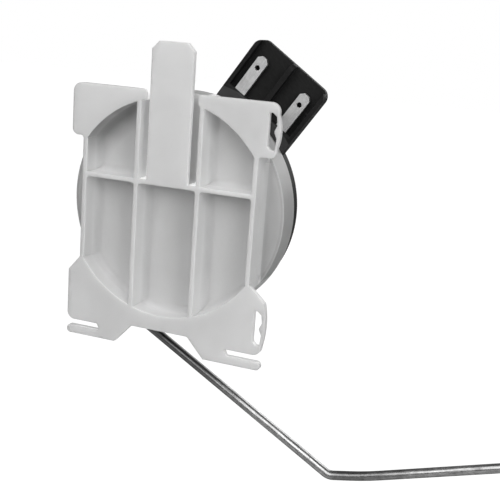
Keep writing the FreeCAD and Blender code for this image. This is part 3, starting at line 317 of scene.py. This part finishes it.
# %% Painted light and shade of the carrier
def carrier_painted_shading(finish, plain, tone):
    across, depth, up = (axis(finish, letter) for letter in "XYZ")
    beside = (across * across) ** 0.5
    away = (across * across + up * up) ** 0.5

    outside = (beside > FRAME_HALF) * (depth > FACE_DEPTH)
    inside = 1 - outside
    # The grooves are painted paler and get a painted glow, though they are no lamp.
    groove_painted_light = (beside > GROOVE_SIDES[0]) * (beside < GROOVE_SIDES[1])
    groove_painted_light = groove_painted_light * (up > GROOVE_FOOT) * (depth > GROOVE_DEPTH)
    # Painted shade on the pocket's wall at the upper left.
    shade = fade(finish, away, *SHADE_AWAY) * fade(finish, up, *SHADE_HEIGHT)
    shade = shade * (across < SHADE_LEFT) * (depth > SHADE_DEPTH) * inside

    # Painted shade: on the pocket's floor, and more on the pot's face, the more so low down and on the
    # shoulder.
    face_painted_shade = outside * (FACE_PAINTED_SHADE - up * FACE_SLOPE)
    shoulder_painted_shade = outside * (away > SHOULDER_AWAY) * SHOULDER_PAINTED_SHADE
    painted_shade = fade(finish, depth, *FLOOR_DEPTH) * (FLOOR_PAINTED_SHADE + face_painted_shade + shoulder_painted_shade)
    # Painted light: closed-in corners, and the grooves, are painted paler.
    reach = {"Distance": CORNER_REACH * MM}
    open_space = finish.node("AmbientOcclusion", {"samples": 8}, reach, output="AO")
    painted_light = ((1 - open_space) * CORNER_PAINTED_LIGHT + groove_painted_light) * inside

    # The colour with the painted shade.
    darker = mix(finish, painted_shade + shade * WALL_SHADE, plain, grey(tone * DARKEST))
    # The grooves' painted glow.
    glow = mix(finish, groove_painted_light, grey(0.0), grey(GROOVE_PAINTED_GLOW))
    # The painted light is laid over the painted shade.
    return mix(finish, painted_light, darker, grey(PALEST)), glow


acetal = pale_plastic("pale_acetal", 0.61, carrier_painted_shading)
white_acetal = pale_plastic("white_acetal", 0.74)
print("pale plastics:", acetal.name, white_acetal.name)

# %% [markdown]
# The base and the arm's holder are black glass-filled plastic. Short glass fibres show as a fine
# uneven grain, and the moulding has a satin skin. The edges are a little lighter, partly from wear
# and partly as a painted highlight. The face of the curved block at the tray's root is painted dark
# grey instead of black, as painted light.

# %% Black glass-filled moulding
BLOCK_AWAY = (26.1, 28.6)  # mm from the pot's axis to the block's inner and outer face
BLOCK_BACK = 13.0          # depth in mm where the block ends


def black_plastic(name, tone):
    finish = Finish(name, Specular_IOR_Level=0.12)
    rounded = soft_edge(finish, 0.18)
    fibres = noise(finish, 0.35, 3.0, at=stretched(finish, (1.0, 1.0, 0.25), (0, 35, 0)))
    clouds = noise(finish, 6.0, 2.0)
    dust = ramp(finish, noise(finish, 0.45, 3.0, 0.7), (0.66, 0.0), (0.74, 1.0))
    # Lighter edges: partly wear and partly a painted highlight.
    wear_and_edge_highlight = edge_mask(finish, rounded) * ramp(finish, noise(finish, 0.9), (0.35, 0.2), (0.65, 1.0))
    across, depth, up = (axis(finish, letter) for letter in "XYZ")
    away = (across * across + up * up) ** 0.5
    # Painted light: the block's face is painted paler than the black around it.
    block_painted_light = (away > BLOCK_AWAY[0]) * (away < BLOCK_AWAY[1]) * (depth < BLOCK_BACK)
    skin = ramp(finish, fibres * 0.6 + clouds * 0.4, (0.30, tone * 0.7), (0.72, tone * 1.7))
    finish.shade(
        Base_Color=mix(finish, wear_and_edge_highlight * 0.5 + dust * 0.12 + block_painted_light * 0.3, skin, grey(0.11)),
        Roughness=0.46 + fibres * 0.16 + clouds * 0.08,
        Normal=bump(finish, fibres, 0.010, rounded),
    )
    return finish.material


base_black = black_plastic("base_black", 0.009)
holder_black = black_plastic("holder_black", 0.010)
print("black plastics:", base_black.name, holder_black.name)

# %% [markdown]
# The metal parts differ in colour, in the direction of their marks and in how worn they are. One
# function covers them: long fine streaks in a chosen direction, broad tarnish, and bright edges.

# %% Worked metal
def metal(name, colour, dark, rough, streaks, turn=(0, 0, 0)):
    """Metal with streaks, long where the factor of a turned axis is small; dark is the tarnish."""
    finish = Finish(name, Metallic=1.0)
    rounded = soft_edge(finish, 0.08)
    lines = noise(finish, 0.12, 3.0, 0.6, at=stretched(finish, streaks, turn))
    patches = noise(finish, 2.4, 4.0, 0.6)
    tarnish = ramp(finish, patches * 0.65 + lines * 0.35, (0.38, 0.0), (0.66, 1.0))
    worn = edge_mask(finish, rounded)
    finish.shade(
        Base_Color=mix(finish, tarnish * (1 - worn * 0.8), (*colour, 1), (*dark, 1)),
        Roughness=rough + lines * 0.16 + tarnish * 0.08 - worn * 0.08,
        Normal=bump(finish, lines, 0.004, rounded),
    )
    return finish.material


BLADE_LEAN = 34.5  # degrees between the blades and upright

tin = metal(
    "tinned_blade", (0.74, 0.74, 0.74), (0.50, 0.50, 0.50), 0.34, (1, 1, 0.04), (0, -BLADE_LEAN, 0),
)
brass = metal("turned_brass", (0.72, 0.52, 0.23), (0.45, 0.30, 0.12), 0.26, (1, 0.05, 1))
silver = metal("contact_silver", (0.86, 0.85, 0.82), (0.62, 0.60, 0.56), 0.22, (1, 1, 1))
spring = metal("spring_steel", (0.52, 0.52, 0.53), (0.30, 0.30, 0.31), 0.28, (0.05, 1, 1))
print("metals:", tin.name, brass.name, silver.name, spring.name)

# %% [markdown]
# The float arm is hard-drawn spring wire with a thin dark skin. The die leaves long lines along each
# straight run, and each run has its own direction, so its lines get their own turned coordinates. The
# skin is rubbed down to bright steel on most of the length. It is still whole at the ankle. Near the
# knee, where the carrier covers the wire, the dark colour is partly the skin and partly painted shade
# of the carrier. Small nicks from handling lie all along the wire.

# %% Drawn wire
# Places are in mm, and a dip is a run's angle below level in degrees.
SHIN_DIP = 29.8
LATER_RUNS = [(37.9, -12.1), (47.0, -17.8)]  # instep and toe: the x where it starts, its dip
LEG_FOOT = -33.5                             # the short leg to the pivot lies above this height
LEG_DIP = -64.9
# Where the wire stays dark: at the ankle the skin, near the knee partly painted shade of the carrier.
SKIN_SPAN = 100.0                            # the next line's places are shares of this length in x
SKIN_AND_PAINTED_SHADE = [(0.02, 1.0), (0.18, 0.0), (0.37, 0.0), (0.42, 0.8), (0.50, 0.6), (0.62, 0.0)]


def drawn_wire(name):
    finish = Finish(name, Metallic=1.0, Specular_Tint=grey(0.3))
    rounded = soft_edge(finish, 0.05)
    across, up = axis(finish, "X"), axis(finish, "Z")

    def lines_along(dip):
        return noise(finish, 0.22, 4.0, 0.65, at=stretched(finish, (0.035, 1, 1), (0, -dip, 0)))

    lines = lines_along(SHIN_DIP)
    for start, dip in LATER_RUNS:
        later = lines_along(dip)
        lines = finish.node("Mix", {}, {"Factor": across > start, "A": lines, "B": later})
    leg = lines_along(LEG_DIP)
    lines = finish.node("Mix", {}, {"Factor": up > LEG_FOOT, "A": lines, "B": leg})
    blotches = noise(finish, 1.6, 5.0, 0.7)
    nicks = ramp(finish, noise(finish, 0.5, 3.0, 0.7), (0.66, 0.0), (0.70, 1.0))
    steel = ramp(finish, lines * 0.6 + blotches * 0.4, (0.36, 0.19), (0.50, 0.41), (0.64, 0.64))
    # Dark skin, and near the knee partly painted shade of the carrier.
    skin_and_painted_shade = ramp(finish, across * (1 / SKIN_SPAN), *SKIN_AND_PAINTED_SHADE)
    skin = mix(finish, skin_and_painted_shade * 0.75, steel, grey(0.10))
    finish.shade(
        Base_Color=mix(finish, nicks * 0.5, skin, grey(0.30)),
        Roughness=0.24 + blotches * 0.12,
        Normal=bump(finish, lines * 0.7 + blotches * 0.3, 0.008, rounded),
    )
    return finish.material


wire_steel = drawn_wire("drawn_steel_wire")
print("wire runs:", 2 + len(LATER_RUNS))

# %% [markdown]
# Inside the pot sits the resistor card: a white ceramic plate with dark printed tracks. Ceramic is
# chalky with fine specks, and the fired ink is smooth, near black, with a slight metallic sheen.

# %% Ceramic and printed ink
def fired(name, tone, dark, rough, sheen):
    finish = Finish(name, Metallic=sheen)
    specks = ramp(finish, noise(finish, 0.22, 2.0), (0.56, 0.0), (0.70, 1.0))
    clouds = noise(finish, 3.0, 3.0)
    finish.shade(
        Base_Color=mix(finish, specks * 0.5 + clouds * 0.2, grey(tone), grey(dark)),
        Roughness=rough + clouds * 0.12,
        Normal=bump(finish, specks, 0.006, soft_edge(finish, 0.06)),
    )
    return finish.material


ceramic = fired("card_ceramic", 0.80, 0.62, 0.55, 0.0)
ink = fired("resistor_ink", 0.030, 0.055, 0.38, 0.3)
print("card:", ceramic.name, ink.name)

# %% [markdown]
# The float is closed-cell rubber foam, cut from a block. Its cut faces show open half cells, so the
# relief comes from Voronoi cells at the size of the foam's bubbles, and the colour is a dusty black.
# The pits of the cells are painted darker, as painted shade.

# %% Rubber foam
def foam(name, tone):
    finish = Finish(name, Specular_IOR_Level=0.20)
    cells = finish.node("TexVoronoi", {"feature": "F1"}, {
        "Vector": finish.place, "Scale": 1 / (0.75 * MM), "Randomness": 1.0,
    }, output="Distance")
    fine = noise(finish, 0.3, 3.0)
    # The pits give the relief, and their colour is painted darker as painted shade.
    pits_and_painted_shade = ramp(finish, cells + fine * 0.25, (0.22, 0.0), (0.55, 1.0))
    finish.shade(
        Base_Color=mix(finish, pits_and_painted_shade, grey(tone * 0.35), grey(tone)),
        Roughness=0.72 + fine * 0.2,
        Normal=bump(finish, pits_and_painted_shade, 0.14, soft_edge(finish, 0.5)),
    )
    return finish.material


float_foam = foam("float_foam", 0.045)
print("foam:", float_foam.name)

# %% [markdown]
# Each solid now gets its finish. A solid keeps its mesh and its place; only the material in its slot
# changes. A solid that the table leaves out would stay plain, so the script stops on one.

# %% Give every solid its finish
FINISHES = {
    acetal: ["carrier"],
    base_black: ["connector_base"],
    holder_black: ["arm_holder"],
    white_acetal: ["wiper_rotor", "thrust_washer"],
    tin: ["terminal_upper", "terminal_lower"],
    brass: ["shaft_bushing", "card_rivet_upper", "card_rivet_lower"],
    silver: ["contact_button_outer", "contact_button_inner"],
    spring: [
        "wiper_leaf", "retaining_clip", "float_clip", "float_washer_inner", "float_washer_outer",
    ],
    wire_steel: ["float_arm"],
    ceramic: ["resistor_card"],
    ink: ["resistor_track", "contact_track"],
    float_foam: ["float"],
}
dressed = set()
for material, names in FINISHES.items():
    for name in names:
        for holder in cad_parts[name].material_slots:
            holder.material = material
        dressed.add(name)
if dressed != set(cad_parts):
    raise RuntimeError(f"not dressed: {set(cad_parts) - dressed}")
print("dressed solids:", len(dressed))

# %% [markdown]
# The photograph has a plain white ground with no shadow on it. The part is shown as it hangs on its
# module, so the floor lies well below it and the shadow falls outside the picture. The floor and
# the world are white where they are seen themselves, straight or through glass. To the part and in
# its reflections they give a moderate light.

# %% Floor
FLOOR_LEVEL = -120 * MM
FLOOR_HALF = 2000 * MM


def seen_white(graph):
    """1 for rays that show the ground itself: straight from the camera or through glass."""
    straight = graph.node("LightPath", output="Is Camera Ray")
    through = graph.node("LightPath", output="Is Transmission Ray")
    return (straight + through) > 0.5


floor_mesh = bpy.data.meshes.new("floor")
signs = ((-1, -1), (1, -1), (1, 1), (-1, 1))
corners = [(x * FLOOR_HALF, y * FLOOR_HALF, FLOOR_LEVEL) for x, y in signs]
floor_mesh.from_pydata(corners, [], [(0, 1, 2, 3)])
floor = bpy.data.objects.new("floor", floor_mesh)
bpy.context.scene.collection.objects.link(floor)
print("floor level in mm:", FLOOR_LEVEL / MM)

# %% [markdown]
# The floor is matt white paint. For the camera an even glow covers most of the paint's shading, so
# that the ground has no gradient. A share of the paint stays, so a near shadow would still show.

# %% Floor paint
FLOOR_GLOW = 1.16
GLOW_SHARE = 0.88

paint = Finish("floor_white", Base_Color=grey(0.55), Roughness=0.9)
glow = paint.node("Emission", {}, {"Strength": FLOOR_GLOW})
paint.feed(paint.tree.nodes["Material Output"], {"Surface": paint.node("MixShader", {}, {
    0: seen_white(paint) * GLOW_SHARE, 1: Socket(paint, paint.shader.outputs[0]), 2: glow,
})})
floor_mesh.materials.append(paint.material)
print("floor paint:", paint.material.name)

# %% [markdown]
# The world stands for the room. The camera sees it white, as it sees the floor, and the part gets only
# a weak even light from it, so that the lamps shape the forms.

# %% World
WORLD_LIGHT = 0.20

world = bpy.data.worlds.new("studio")
bpy.context.scene.world = world
world.use_nodes = True
sky = Graph(world.node_tree)
sky.feed(sky.tree.nodes["Background"], {
    "Color": grey(1.0),
    "Strength": sky.node("MapRange", {}, {
        "Value": seen_white(sky), "To Min": WORLD_LIGHT, "To Max": 1.0,
    }),
})
print("world light:", WORLD_LIGHT)

# %% [markdown]
# The wire works like a mirror and tells where the lamps stood. Its highlight is wide, lies a little
# above its middle and ends where the wire turns, which fits one large soft box behind and above the
# camera. That box is the key, and it leaves soft shade below the cross rib. The faces that look to the
# right are nearly as bright as the plate, so a smaller soft box stands near the part on that side. A
# third one behind the part lights the pot's shoulder from there, and the back for anyone who turns it.

# %% Lamps
def soft_box(name, place, wide, high, strength):
    """A flat lamp aimed at the part. Sizes are in mm, and in a mirror strength 1 looks about white."""
    lamp = bpy.data.lights.new(name, "AREA")
    lamp.shape = "RECTANGLE"
    lamp.size, lamp.size_y = wide * MM, high * MM
    lamp.energy = strength * math.pi * lamp.size * lamp.size_y
    holder = bpy.data.objects.new(name, lamp)
    bpy.context.scene.collection.objects.link(holder)
    holder.location = Vector(place) * MM
    holder.rotation_mode = "QUATERNION"
    holder.rotation_quaternion = (CAMERA_TARGET - holder.location).to_track_quat("-Z", "Y")
    print(name, "watts:", round(lamp.energy, 2))


soft_box("key", (12, -300, 255), wide=440, high=450, strength=2.2)
soft_box("fill", (210, -170, 100), wide=90, high=160, strength=6.4)
soft_box("back_lamp", (120, 420, 160), wide=300, high=300, strength=2.8)
